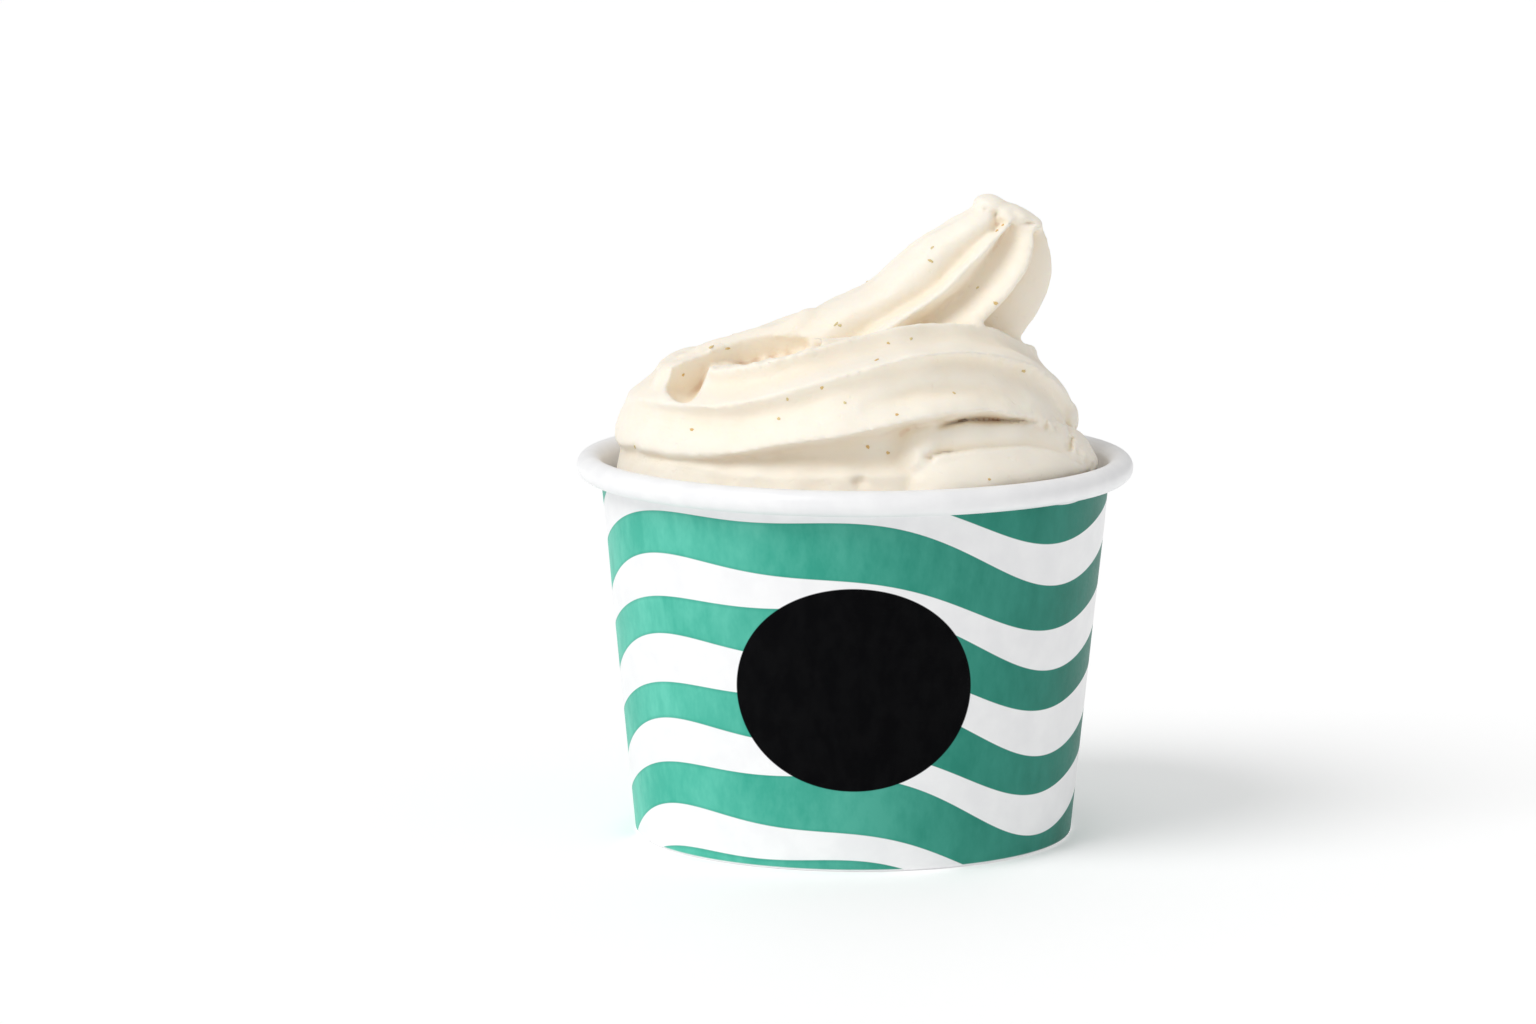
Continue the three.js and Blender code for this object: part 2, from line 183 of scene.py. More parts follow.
radii = np.linspace(0.5, disc_radius - disc_rounding, 48)
bow = disc_bow * (1 - (radii / disc_radius) ** 2)
ring = ring_depth * np.cos(2 * np.pi * radii / ring_spacing)
ring = ring * np.clip((radii - rings_start) / (rings_full - rings_start), 0, 1)
edge = np.radians(np.linspace(-90, 90, 7))[1:-1]
disc_profile = np.concatenate([
    np.stack([radii, disc_low[2] + bow + ring], -1),
    np.stack([disc_radius - disc_rounding + disc_rounding * np.cos(edge),
              disc_low[2] + disc_rounding + disc_rounding * np.sin(edge)], -1),
    np.stack([radii, disc_high[2] + bow + ring], -1)[::-1],
])
disc_angles = np.linspace(0, 2 * np.pi, 160, endpoint=False)
bottom_disc = grid_mesh("bottom_disc", turned(disc_profile, disc_angles), disc_material)
add_to_tub(bottom_disc, "plain_board", "cup_floor")


# Side wall. Coated white paper board, printed in green, wrapped to a taper and lapped in a glued
# seam at the back. The top is curled outwards into a rim; the foot is folded in and knurled.

wall_high = np.array(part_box("cup_wall")[1]) / MM
rim_radius = wall_high[0]
tub_height = wall_high[2]
board = 0.45
curl_radius = 2.05
foot_radius = 35.5
top_radius = 41.5                            # of the wall, if it went on up to the rim's top
hem_height = 5.0
hem_thickness = 1.2
hem_chamfer = 0.2
foot_rounding = 0.9
curl_middle = (rim_radius - curl_radius, tub_height - curl_radius)
seam_angle = 90                              # the back
knurls, knurl_depth = 96, 0.1                # pressed into the hem's inner face
lap_edge, lap_fade = 0.15, 7.0               # degrees: end of the board, and how fast it settles
lap_rise, lap_on_curl = 0.9, 0.45            # shares of the board's thickness and of the lap
wave_low, wave_most, wave_high = 35.0, 50.0, 58.5    # heights at which the wall is out of round
rim_sway = 0.06                              # of the rim, up and down


def wall_radius(height):
    """Outside of the wall: a straight line from the foot's radius to the top's."""
    return foot_radius + (top_radius - foot_radius) * np.asarray(height, float) / tub_height


def arc(middle, radius, start, end, steps):
    """Points of a circular arc in a profile, from one angle in degrees to another."""
    angle = np.radians(np.linspace(start, end, steps))
    return np.stack([middle[0] + radius * np.cos(angle), middle[1] + radius * np.sin(angle)], -1)


def line(start, end, steps):
    """Evenly spaced points from start to end, without the two ends."""
    part = np.linspace(0, 1, steps + 2)[1:-1, None]
    return np.asarray(start) * (1 - part) + np.asarray(end) * part


def ease(value, low, high):
    """Smooth step: 0 below low, 1 above high, 3t^2 - 2t^3 between them."""
    part = np.clip((value - low) / (high - low), 0, 1)
    return part * part * (3 - 2 * part)


foot_arc = arc((foot_radius - foot_rounding, foot_rounding), foot_rounding, -90, 0, 6)
curl_arc = arc(curl_middle, curl_radius, -150, 180, 40)
hem_top = [[wall_radius(hem_height) - board, hem_height],
           [wall_radius(hem_height) - hem_thickness + hem_chamfer, hem_height],
           [wall_radius(hem_height) - hem_thickness, hem_height - hem_chamfer]]
hem_foot = [foot_radius - hem_thickness, 0.0]
taper_steps, lining_steps, hem_steps = 30, 20, 12
wall_profile = np.concatenate([
    foot_arc, line(foot_arc[-1], curl_arc[0], taper_steps), curl_arc,
    line(curl_arc[-1], hem_top[0], lining_steps), hem_top,
    line(hem_top[-1], hem_foot, hem_steps), [hem_foot],
])

seam = np.radians(seam_angle)
wall_angles = np.linspace(0, 2 * np.pi, 480, endpoint=False)
wall_angles = np.unique(np.concatenate([wall_angles, seam + np.radians([-0.18, -0.06, 0.06, 0.18])]))
wall_points = turned(wall_profile, wall_angles)

# The outer end of the board lies on the inner one: past the seam it stands out by most of its
# thickness and settles back over some 20 degrees. The curl shows half of that, the inside none.
past_seam = np.degrees((wall_angles - seam + np.pi) % (2 * np.pi) - np.pi)
lap = ease(past_seam, -lap_edge, lap_edge) * np.exp(-np.clip(past_seam, 0, None) / lap_fade)
outside = np.zeros(len(wall_profile))
curl_start = len(foot_arc) + taper_steps
outside[:curl_start] = 1
on_curl = slice(curl_start, curl_start + len(curl_arc))
outside[on_curl] = lap_on_curl
hem_face = np.zeros(len(wall_profile))
hem_face[-1 - hem_steps:-1] = np.sin(np.linspace(0, np.pi, hem_steps))
knurl = knurl_depth * np.cos(knurls * wall_angles) * hem_face[:, None]

# Under the rim the tub is a little out of round, and the rim's top isn't quite level
wave = 0.07 * np.sin(3 * wall_angles + 0.6) + 0.05 * np.sin(5 * wall_angles + 2.0)
height = wall_profile[:, 1, None]
swell = board * lap_rise * lap * outside[:, None] + knurl
swell = swell + wave * ease(height, wave_low, wave_most) * (1 - ease(height, wave_most, wave_high))
wall_points[..., 0] += swell * np.cos(wall_angles)
wall_points[..., 1] += swell * np.sin(wall_angles)
wall_points[on_curl, :, 2] += rim_sway * np.sin(2 * wall_angles + 1.1) - rim_sway


def swing(tree, value, rate, size, start):
    """A sine, size * sin(rate * value + start)."""
    angle = maths(tree, "MULTIPLY_ADD", value, float(rate), start)
    return maths(tree, "MULTIPLY", maths(tree, "SINE", angle), size)


def length(tree, across, up):
    """Square root of the sum of two squares."""
    squares = [maths(tree, "POWER", side, 2.0) for side in (across, up)]
    return maths(tree, "SQRT", maths(tree, "ADD", *squares))


wall_material, wall_tree, wall_shader = new_material(
    "printed board", (0.9, 0.9, 0.9), 0.36, Specular_IOR_Level=0.45)
wall_place = node(wall_tree, "TexCoord").outputs["Object"]
split = node(wall_tree, "SeparateXYZ", {"Vector": wall_place}).outputs
millimetre = [maths(wall_tree, "MULTIPLY", axis, 1 / MM) for axis in split]
bearing = maths(wall_tree, "ARCTAN2", millimetre[0], maths(wall_tree, "MULTIPLY", millimetre[1], -1))
from_axis = length(wall_tree, millimetre[0], millimetre[1])

# Wavy green bands: their lift and their share of the pitch swing round the tub. What counts is how
# far a place lies inside a band, in millimetres.
band_pitch = 13.6                            # from one green band to the next, up the wall
band_share = 0.56                            # how much of that is green
print_blur, dense_rim = 0.06, 0.55           # of a band's edge, and how wide the ink is denser there
lift = maths(wall_tree, "ADD", swing(wall_tree, bearing, 2, 6.0, 2.5),
             swing(wall_tree, bearing, 5, 1.5, 0.4))
level = maths(wall_tree, "DIVIDE", maths(wall_tree, "SUBTRACT", millimetre[2], lift), band_pitch)
breath = maths(wall_tree, "ADD", swing(wall_tree, bearing, 3, 0.10, 1.2),
               swing(wall_tree, level, 2.1, 0.05, 0.7))
share = maths(wall_tree, "ADD", breath, band_share)
off_middle = maths(wall_tree, "SUBTRACT", maths(wall_tree, "FRACT", level), 0.5)
off_middle = maths(wall_tree, "ABSOLUTE", off_middle)
inside_band = maths(wall_tree, "SUBTRACT", maths(wall_tree, "MULTIPLY", share, 0.5), off_middle)
inside_band = maths(wall_tree, "MULTIPLY", inside_band, band_pitch)
in_green = span(wall_tree, inside_band, -print_blur, print_blur)
band_rim = span(wall_tree, inside_band, dense_rim, 0.0)

# Plain dark oval at the front, bare
oval_height, oval_half_width, oval_half_height = 29.6, 19.2, 16.4
oval_blur = 0.004
arc_place = maths(wall_tree, "MULTIPLY", bearing, from_axis)
oval_x = maths(wall_tree, "DIVIDE", arc_place, oval_half_width)
oval_z = maths(wall_tree, "DIVIDE", maths(wall_tree, "SUBTRACT", millimetre[2], oval_height),
               oval_half_height)
in_oval = span(wall_tree, length(wall_tree, oval_x, oval_z), 1 + oval_blur, 1 - oval_blur)

# Printed on the outer face only, from just above the foot to just below the curl: within a board's
# thickness of a line that stands a little out from the taper, so that the lap is printed too
print_low, print_high, print_fade = 0.4, 60.0, 0.1
wall_taper = (top_radius - foot_radius) / tub_height
face_radius = maths(wall_tree, "MULTIPLY_ADD", millimetre[2], wall_taper, foot_radius + board * 0.4)
from_face = maths(wall_tree, "ABSOLUTE", maths(wall_tree, "SUBTRACT", from_axis, face_radius))
near_face = span(wall_tree, from_face, board, board - 0.02)
below_curl = span(wall_tree, millimetre[2], print_high + print_fade, print_high)
above_foot = span(wall_tree, millimetre[2], print_low - print_fade, print_low + print_fade)
outer_face = maths(wall_tree, "MULTIPLY", near_face,
                   maths(wall_tree, "MULTIPLY", below_curl, above_foot))

# The green is washy and denser along a band's edge. It is painted pale on the left, the lit side, and deep
# on the right, the shaded side: painted light and shade.
wash = noise(wall_tree, wall_place, 95, detail=4, stretch=(1, 1, 0.55), roughness=0.6)
stain = noise(wall_tree, wall_place, 420, detail=3, stretch=(1, 1, 0.5), roughness=0.65)
wash = maths(wall_tree, "ADD", maths(wall_tree, "MULTIPLY", wash, 0.65),
             maths(wall_tree, "MULTIPLY", stain, 0.35))
painted_side_shade = span(wall_tree, maths(wall_tree, "SINE", bearing), -0.95, 0.95)
wash_low, wash_high = 0.36, 0.62
painted_lit_green = mottled(wall_tree, wash, wash_low, wash_high,
                     (0.055, 0.47, 0.345, 1), (0.135, 0.62, 0.475, 1))
painted_shaded_green = mottled(wall_tree, wash, wash_low, wash_high,
                     (0.010, 0.155, 0.112, 1), (0.017, 0.20, 0.150, 1))
# Painted shade: the green turns from its lit pale copy on the left to its shaded deep copy on the right
green = blended(wall_tree, painted_side_shade, painted_lit_green, painted_shaded_green)
green = blended(wall_tree, maths(wall_tree, "MULTIPLY", band_rim, 0.35), green,
                (0.008, 0.24, 0.17, 1))
paper = mottled(wall_tree, noise(wall_tree, wall_place, 240, 4), 0.35, 0.65,
                (0.875, 0.875, 0.885, 1), (0.92, 0.92, 0.925, 1))
printed = blended(wall_tree, in_green, paper, green)
oval_black = mottled(wall_tree, stain, 0.4, 0.6,
                     (0.0015, 0.0015, 0.002, 1), (0.003, 0.003, 0.0035, 1))
printed = blended(wall_tree, in_oval, printed, oval_black)
wall_colour = blended(wall_tree, outer_face, paper, printed)
wall_tree.links.new(wall_colour, wall_shader.inputs["Base Color"])

# The ink shines less than the coated paper, and least of all in the oval
inked = maths(wall_tree, "MULTIPLY", maths(wall_tree, "MAXIMUM", in_green, in_oval), outer_face)
gloss = maths(wall_tree, "ADD", span(wall_tree, inked, 0, 1, 0.34, 0.42),
              span(wall_tree, noise(wall_tree, wall_place, 1500, 3), 0.3, 0.7, -0.04, 0.04))
wall_tree.links.new(gloss, wall_shader.inputs["Roughness"])
oval_ink = maths(wall_tree, "MULTIPLY", in_oval, outer_face)
shine = maths(wall_tree, "SUBTRACT", span(wall_tree, inked, 0, 1, 0.45, 0.14),
              maths(wall_tree, "MULTIPLY", oval_ink, 0.11))
wall_tree.links.new(shine, wall_shader.inputs["Specular IOR Level"])
relief(wall_tree, wall_shader, [(board_fibres(wall_tree, wall_place), 0.008), (inked, 0.012)])

side_wall = grid_mesh("side_wall", wall_points, wall_material)
add_to_tub(side_wall, "printed_board", "cup_wall")


# Frozen yogurt. Soft, pale cream piped from a fluted nozzle: it fills the tub, lies at the rim in
# one thick turn, winds over that in a second one and ends in a torn peak that leans to the right.

def track(rows, column, at):
    """Column of a table at the values given: a Catmull-Rom curve through the rows, level at both
    ends, against the table's first column."""
    table = np.array(rows, float)
    knots, values = table[:, 0], table[:, column]
    slopes = np.zeros(len(knots))
    slopes[1:-1] = (values[2:] - values[:-2]) / (knots[2:] - knots[:-2])
    at = np.clip(at, knots[0], knots[-1])
    low = np.clip(np.searchsorted(knots, at, side="right") - 1, 0, len(knots) - 2)
    width = knots[low + 1] - knots[low]
    t = (at - knots[low]) / width
    return ((2 * t**3 - 3 * t**2 + 1) * values[low] + (t**3 - 2 * t**2 + t) * width * slopes[low]
            + (3 * t**2 - 2 * t**3) * values[low + 1] + (t**3 - t**2) * width * slopes[low + 1])


def rope(rows, offset=0.0, flutes=10, cut=None, ends=14.0, tilt=0.0, lean=0.54, shape=(360, 260)):
    """Fluted rope laid round the tub. A row gives, at an angle round the tub (0 is +X, -90 the
    front): height and reach of its middle, its radius, how square its section is, the depth of its
    flutes, and where three neighbouring ridges lie on its section (0 is outwards, 90 is up); the
    others share the rest. The section is a circle of that radius times 1 - depth sin(pi t^lean),
    deepest just under each ridge, times (cos^4 + sin^4)^(-square/4) turned by tilt, and cut; to
    both ends of the rope, over that many millimetres, it shrinks along a quarter circle."""
    steps, around = shape
    angle = np.linspace(rows[0][0], rows[-1][0], steps)[:, None]
    height, reach, radius, square, depth, *given = (track(rows, k, angle) for k in range(1, 9))
    share = np.linspace(0, 1, flutes - 1)
    rest = given[2] * (1 - share) + (given[0] - 360) * share
    ridges = np.concatenate([given[0], given[1], rest], axis=1)
    part = np.linspace(0, flutes, around, endpoint=False)
    ridge = part.astype(int)
    within = part - ridge
    bearing = ridges[:, ridge] * (1 - within) + ridges[:, ridge + 1] * within
    section, turned_section = np.radians(bearing), np.radians(bearing - tilt)
    size = radius * (1 - depth * np.sin(np.pi * within ** lean))
    size = size * (np.cos(turned_section) ** 4 + np.sin(turned_section) ** 4) ** (-square / 4)
    if cut:
        size = size * cut(angle, bearing, given[2] - bearing)
    from_end = np.radians(np.minimum(angle - rows[0][0], rows[-1][0] - angle)) * reach
    size = size * np.sqrt(1 - (1 - np.clip(from_end / ends, 0.002, 1)) ** 2)
    out = reach + size * np.cos(section)
    turn = np.radians(angle)
    return np.stack([offset + out * np.cos(turn), out * np.sin(turn),
                     height + size * np.sin(section)], -1)


def unfluted(rows, square):
    """Rows of a rope without flutes: their depth is 0 and their ridges lie anywhere."""
    return [(*row, square, 0.0, 108, 72, 36) for row in rows]


def joined(name, grids):
    """One object of all the closed grids."""
    pieces = [grid_mesh(name if k == 0 else f"{name}_{k}", grid) for k, grid in enumerate(grids)]
    with bpy.context.temp_override(active_object=pieces[0], selected_editable_objects=pieces):
        bpy.ops.object.join()
    return pieces[0]


def fused(name, grids, hollow_grid, voxel, smoothing):
    """One closed skin round all the grids: they are joined, remeshed in cubes of voxel
    millimetres, cut by the hollow, remeshed again and smoothed. Gives its corners in millimetres
    and its four-sided faces."""
    whole = joined(name, grids)
    knife = grid_mesh("hollow", hollow_grid)
    for step in ("skin", "hollow", "skin again"):
        if step == "hollow":
            cut = whole.modifiers.new(step, "BOOLEAN")
            cut.operation, cut.solver, cut.object = "DIFFERENCE", "MANIFOLD", knife
        else:
            remesh = whole.modifiers.new(step, "REMESH")
            remesh.mode, remesh.voxel_size = "VOXEL", voxel * MM
    smooth = whole.modifiers.new("smooth", "SMOOTH")
    smooth.factor, smooth.iterations = 0.5, smoothing
    skin = bpy.data.meshes.new_from_object(
        whole.evaluated_get(bpy.context.evaluated_depsgraph_get()))
    corners = np.empty(len(skin.vertices) * 3, np.float32)
    skin.vertices.foreach_get("co", corners)
    faces = np.empty(len(skin.loops), np.int32)
    skin.loops.foreach_get("vertex_index", faces)
    bpy.data.objects.remove(whole)
    bpy.data.objects.remove(knife)
    return corners.reshape(-1, 3).astype(float) / MM, faces.reshape(-1, 4)


# The turn at the rim, which closes on itself: its ends lap a little
layer_rows = [
    (-201, 58.2, 24.6, 14.2, 0, 0.03, 64, 30, -4),
    (-170, 59.0, 24.5, 14.2, 0, 0.03, 64, 30, -4),
    (-152, 58.0, 24.5, 14.2, 0, 0.03, 64, 30, -4),
    (-140, 56.8, 24.5, 14.2, 0, 0.03, 64, 30, -4),
    (-128, 55.4, 24.5, 14.2, 0, 0.03, 64, 32, -4),
    (-112, 54.6, 24.6, 14.2, 0, 0.03, 66, 34, -2),
    (-90, 54.2, 24.7, 14.2, 0, 0.04, 70, 38, 2),
    (-76, 54.3, 24.7, 14.2, 0, 0.04, 70, 38, 2),
    (-60, 54.8, 24.6, 14.3, 0, 0.04, 70, 36, 0),
    (-30, 55.0, 24.6, 14.4, 0, 0.04, 68, 32, -4),
    (0, 54.8, 24.8, 14.4, 0, 0.05, 60, 25, -9),
    (60, 56.0, 24.6, 14.4, 0, 0.10, 54, 20, -14),
    (161, 58.2, 24.6, 14.2, 0, 0.03, 64, 30, -4),
]
# The turn on top of it, from its inner end down to its outer one
swirl_offset = -1.2
swirl_rows = [
    (-310, 73.0, 5.0, 11.0, 0, 0.10, 150, 116, 82),
    (-280, 72.0, 9.5, 12.5, 0, 0.10, 130, 96, 62),
    (-250, 70.4, 13.5, 13.5, 0, 0.07, 112, 78, 44),
    (-225, 67.6, 17.5, 13.8, -0.3, 0.04, 97, 63, 29),
    (-205, 65.7, 20.8, 13.6, -0.6, 0.03, 84, 48, 14),
    (-180, 65.6, 23.9, 13.7, -0.6, 0.03, 62, 28, -5),
    (-157, 66.3, 23.4, 14.2, -0.2, 0.08, 52, 25, -7),
    (-140, 66.9, 22.8, 14.4, 0, 0.13, 48, 23.5, -10),
    (-125, 67.6, 22.7, 14.5, 0, 0.15, 50, 22.5, -9.5),
    (-112, 68.4, 22.7, 14.5, 0, 0.16, 56, 26.5, -5.5),
    (-102, 69.0, 22.7, 14.5, 0, 0.16, 64, 32.5, -2.5),
    (-92, 69.5, 22.7, 14.5, 0, 0.16, 74, 38.5, -0.5),
    (-81, 70.2, 22.7, 14.5, 0, 0.17, 81, 43, 3),
    (-70, 70.8, 22.7, 14.6, 0, 0.17, 84, 46, 6),
    (-57, 71.0, 22.7, 14.6, 0, 0.17, 86, 47.5, 7),
    (-44, 70.7, 22.7, 14.6, 0, 0.16, 82, 42.5, 2.5),
    (-29, 69.7, 22.5, 14.7, 0, 0.14, 74, 34.5, -6),
    (-10, 67.7, 22.1, 14.6, 0, 0.11, 62, 17, -24),
    (10, 65.9, 22.3, 14.9, 0, 0.10, 54, 6, -38),
    (60, 61.9, 22.4, 14.0, 0, 0.11, 19, -16, -51),
    (120, 58.0, 22.5, 14.0, 0, 0.11, 5, -30, -65),
]
# Two torn ledges that come out under it at the rim, on the right: angle, height, reach and radius
ledge_square, ledge_tilt, ledge_ends = 0.95, 35, 4
upper_ledge_rows = [
    (-84, 61.5, 29.6, 3.0),
    (-73, 64.9, 31.2, 4.2),
    (-60, 66.1, 32.0, 4.6),
    (-42, 66.4, 32.2, 4.6),
    (-26, 66.2, 31.8, 4.6),
    (-12, 65.8, 30.7, 4.4),
    (0, 64.8, 29.4, 4.1),
]
lower_ledge_rows = [
    (-78, 60.0, 34.4, 3.9),
    (-62, 61.8, 34.9, 4.3),
    (-40, 62.9, 35.0, 4.3),
    (-22, 62.8, 35.0, 4.3),
    (-10, 61.9, 34.8, 4.2),
    (4, 60.2, 34.5, 3.9),
]
# Where the hollow ends, along the torn ridge: for each bearing on the section, the angle round
# the tub
torn_section = [56, 58, 60, 63, 68, 80, 100]
torn_ends = [-130, -126, -118, -106, -99, -96, -95]


def torn(angle, bearing, below):
    """Cuts of the swirl's section. On the left its top has torn away behind the first ridge, as
    far as the angle in the table for each bearing. At the front it draws back under its third
    ridge, most of all at the right, which leaves a deep crease over the ledges. Below is in
    degrees, down from that ridge."""
    end = np.interp(bearing, torn_section, torn_ends)
    behind = 0.34 * ease(angle, -160, -146) * (1 - ease(angle, end - 1, end + 1))
    behind = behind * (bearing > torn_section[0])
    behind = behind * (1 - ease(bearing, 150, 180))
    under = 0.14 * ease(angle, -165, -145) + 0.20 * ease(angle, -84, -64)
    under = under * (1 - ease(angle, 4, 26)) * ease(below, 0, 10) * (1 - ease(below, 70, 110))
    return 1 - behind - under


# The peak in level sections. A row gives, at a height: the section's middle in x and y, its half
# width and half depth, and the bearings of its eight ridges.
peak_rows = [
    (66.0, 7.0, -1.0, 19.0, 15.5, -167, -114, -68, -14, 35, 78, 118, 158),
    (78.0, 5.0, -1.0, 20.0, 15.5, -167, -114, -67, -13, 35, 78, 118, 158),
    (82.0, 7.7, -1.0, 19.7, 15.5, -168, -106, -61, -12, 35, 78, 118, 158),
    (86.0, 11.95, -1.5, 17.95, 14.5, -168, -102, -59, -9, 36, 80, 120, 160),
    (89.8, 16.4, -2.2, 14.8, 13.0, -166, -100, -54, -6, 38, 82, 122, 162),
    (93.7, 18.7, -3.0, 12.8, 11.0, -164, -94, -45, -4, 40, 85, 126, 166),
    (97.9, 20.7, -3.7, 9.8, 8.0, -156, -80, -34, -2, 42, 90, 134, 174),
    (99.8, 21.85, -4.0, 7.75, 6.4, -146, -70, -34, 2, 45, 95, 140, 180),
    (101.4, 22.6, -4.2, 5.6, 4.8, -136, -64, -32, 6, 48, 100, 145, 185),
    (102.8, 22.4, -4.4, 3.0, 2.9, -136, -64, -32, 6, 48, 100, 145, 185),
    (103.4, 22.2, -4.5, 0.01, 0.01, -130, -64, -40, 6, 50, 100, 148, 188),
]
# Depth of the valley after each ridge, at the foot and at the tip, and how far it leans: above 1
# it is deepest near the next ridge
peak_valleys = [(0.23, 0.36, 3.0), (0.34, 0.54, 0.8), (0.30, 0.50, 0.75), (0.12, 0.24, 1.0),
                (0.12, 0.18, 1.0), (0.12, 0.18, 1.0), (0.12, 0.18, 1.0), (0.06, 0.1, 1.0)]
peak_foot, peak_tip = 80, 99                 # heights at which those depths hold


def peak(rows, valleys, steps, around):
    """The peak as level sections up to its tip. Between two ridges a section's corner moves
    evenly from bearing to bearing and dips inwards by depth sin(pi t^lean)^1.7 of that valley."""
    flutes = len(valleys)
    rise = np.linspace(0, 1, steps) ** 0.7
    level = (rows[0][0] + (rows[-1][0] - rows[0][0]) * rise)[:, None]
    x, y, half_width, half_depth = (track(rows, k, level) for k in range(1, 5))
    bearings = np.concatenate([track(rows, k, level) for k in range(5, 5 + flutes)], axis=1)
    bearings = np.concatenate([bearings, bearings[:, :1] + 360], axis=1)
    part = np.linspace(0, flutes, around, endpoint=False)
    ridge = part.astype(int)
    within = part - ridge
    bearing = np.radians(bearings[:, ridge] * (1 - within) + bearings[:, ridge + 1] * within)
    deep = np.array(valleys)
    lifted = ease(level, peak_foot, peak_tip)
    depth = deep[ridge, 0] * (1 - lifted) + deep[ridge, 1] * lifted
    size = 1 - depth * np.sin(np.pi * within ** deep[ridge, 2]) ** 1.7
    return np.stack([x + half_width * size * np.cos(bearing), y + half_depth * size * np.sin(bearing),
                     np.broadcast_to(level, bearing.shape)], -1)


def lump(middle, half_sizes, tilt, shape=(36, 60)):
    """Egg of yogurt: a sphere's points times the half sizes, tipped by tilt degrees about Y."""
    rise = np.radians(np.linspace(-89, 89, shape[0]))[:, None]
    turn = np.linspace(0, 2 * np.pi, shape[1], endpoint=False)[None, :]
    egg = np.stack([np.cos(rise) * np.cos(turn), np.cos(rise) * np.sin(turn),
                    np.sin(rise) + 0 * turn], -1) * half_sizes
    lean = np.radians(tilt)
    return np.stack([egg[..., 0] * np.cos(lean) + egg[..., 2] * np.sin(lean), egg[..., 1],
                     egg[..., 2] * np.cos(lean) - egg[..., 0] * np.sin(lean)], -1) + middle


# Lumps: what is left of the flow over the tip, where the nozzle was pulled away, and two at the
# right above the rim. A row gives the middle, the half sizes and the tilt.
lump_rows = [
    ((21.4, -4.9, 102.5), (2.8, 3.4, 1.9), 12),
    ((25.0, -4.6, 100.9), (5.0, 4.0, 1.7), 18),
    ((28.5, -5.4, 99.7), (1.6, 2.9, 1.2), 25),
    ((20.6, -7.2, 100.9), (1.5, 1.3, 1.0), 30),
    ((33.9, 3.0, 67.2), (2.3, 6.0, 3.3), 0),
    ((36.9, -9.5, 61.2), (1.7, 3.4, 2.0), 20),
]

# The fold that is left standing behind the hollow: x, y, height of its crest, half its depth and
# half its height
fold_rows = [
    (-34.0, -12.5, 72.0, 3.4, 5),
    (-32.0, -12.0, 76.8, 4.0, 6),
    (-28.5, -9.0, 78.5, 4.5, 6),
    (-24.0, -7.5, 80.6, 4.5, 6),
    (-18.3, -6.0, 82.2, 4.5, 6),
    (-12.0, -5.5, 83.9, 4.5, 7),
    (-7.9, -5.0, 86.0, 5.0, 8),
    (-3.0, -4.0, 87.0, 5.0, 9),
]


def fold(rows, shape=(90, 64)):
    """Upright ellipses in planes across x, y = y0 + a cos t and z = top - b + b sin t, which
    shrink to nothing at both ends by (1 - u^8)^0.5."""
    x = np.linspace(rows[0][0], rows[-1][0], shape[0])[:, None]
    middle, crest, half_depth, half_height = (track(rows, k, x) for k in range(1, 5))
    turn = np.linspace(0, 2 * np.pi, shape[1], endpoint=False)
    size = (1 - np.linspace(-0.995, 0.995, shape[0])[:, None] ** 8) ** 0.5
    return np.stack([x + 0 * turn, middle + half_depth * size * np.cos(turn),
                     crest - half_height + half_height * size * np.sin(turn)], -1)


# Marks that are laid out as they are seen from the front. A place there is the x and z at which
# the line from an eye to the point meets the upright plane y = seen_plane.
eye = np.array([0.0, -1001.0, 202.55])
seen_plane = -25.0


def seen(points):
    """Place of each point as seen from the eye: its offset from the eye, in x and z, shrunk or
    grown by the ratio of the plane's distance to its own."""
    ratio = (seen_plane - eye[1]) / (points[:, 1] - eye[1])
    return eye[[0, 2]] + (points[:, [0, 2]] - eye[[0, 2]]) * ratio[:, None]


def placed(across, up, y):
    """Points that are seen at a place across and up, and lie at a given y: seen() turned round."""
    ratio = (y - eye[1]) / (seen_plane - eye[1])
    return np.stack([eye[0] + (across - eye[0]) * ratio, y + 0 * ratio,
                     eye[2] + (up - eye[2]) * ratio], -1)


# The hollow on the left: its torn lower edge and its far lip as they are seen, and the y of its
# wall, which leans out at the top
hollow_edge = np.array([
    (-30.4, 77.7), (-30.3, 76.6), (-30.0, 75.4), (-29.2, 74.2), (-28.2, 73.4), (-27.0, 73.1), (-26.0, 73.3),
    (-25.1, 74.0), (-24.3, 75.2), (-23.7, 76.6), (-23.2, 78.1), (-22.3, 79.2), (-19.7, 79.2),
    (-16.9, 79.1), (-14.5, 80.0), (-10.6, 80.7), (-3.6, 82.9)])
far_lip = np.array([
    (-30.4, 78.0), (-28.8, 80.0), (-26.0, 81.2), (-23.6, 81.8), (-21.3, 82.6), (-18.1, 83.3),
    (-15.0, 83.8), (-11.9, 83.8), (-8.7, 83.6), (-3.6, 83.1)])
hollow_wall = np.array([
    (-30.4, -16.5), (-28.0, -14.2), (-23.6, -11.0), (-18.0, -8.6), (-12.0, -8.0), (-8.0, -9.0),
    (-3.6, -17.0)])
hollow_left, hollow_width, hollow_front = -30.4, 26.8, -45.0


def hollow(columns=90, rows=12):
    """What is torn out: from the front back to the hollow's wall, between the two lines."""
    across = (hollow_left + hollow_width * np.linspace(0, 1, columns) ** 1.5)[:, None]
    low, high = (np.interp(across, *line.T) for line in (hollow_edge, far_lip))
    part = np.linspace(0, 1, rows)
    up = low + (high - low) * part
    back = np.interp(across, *hollow_wall.T) + 0.3 * (high - up)
    back = back - 3.0 * (1 - part / 0.3).clip(0) ** 2 * (1 - ease(across, -26, -23))
    front = placed(across, np.concatenate([high, low], 1), np.full((columns, 2), hollow_front))
    return np.concatenate([placed(across, up, back), front], axis=1)


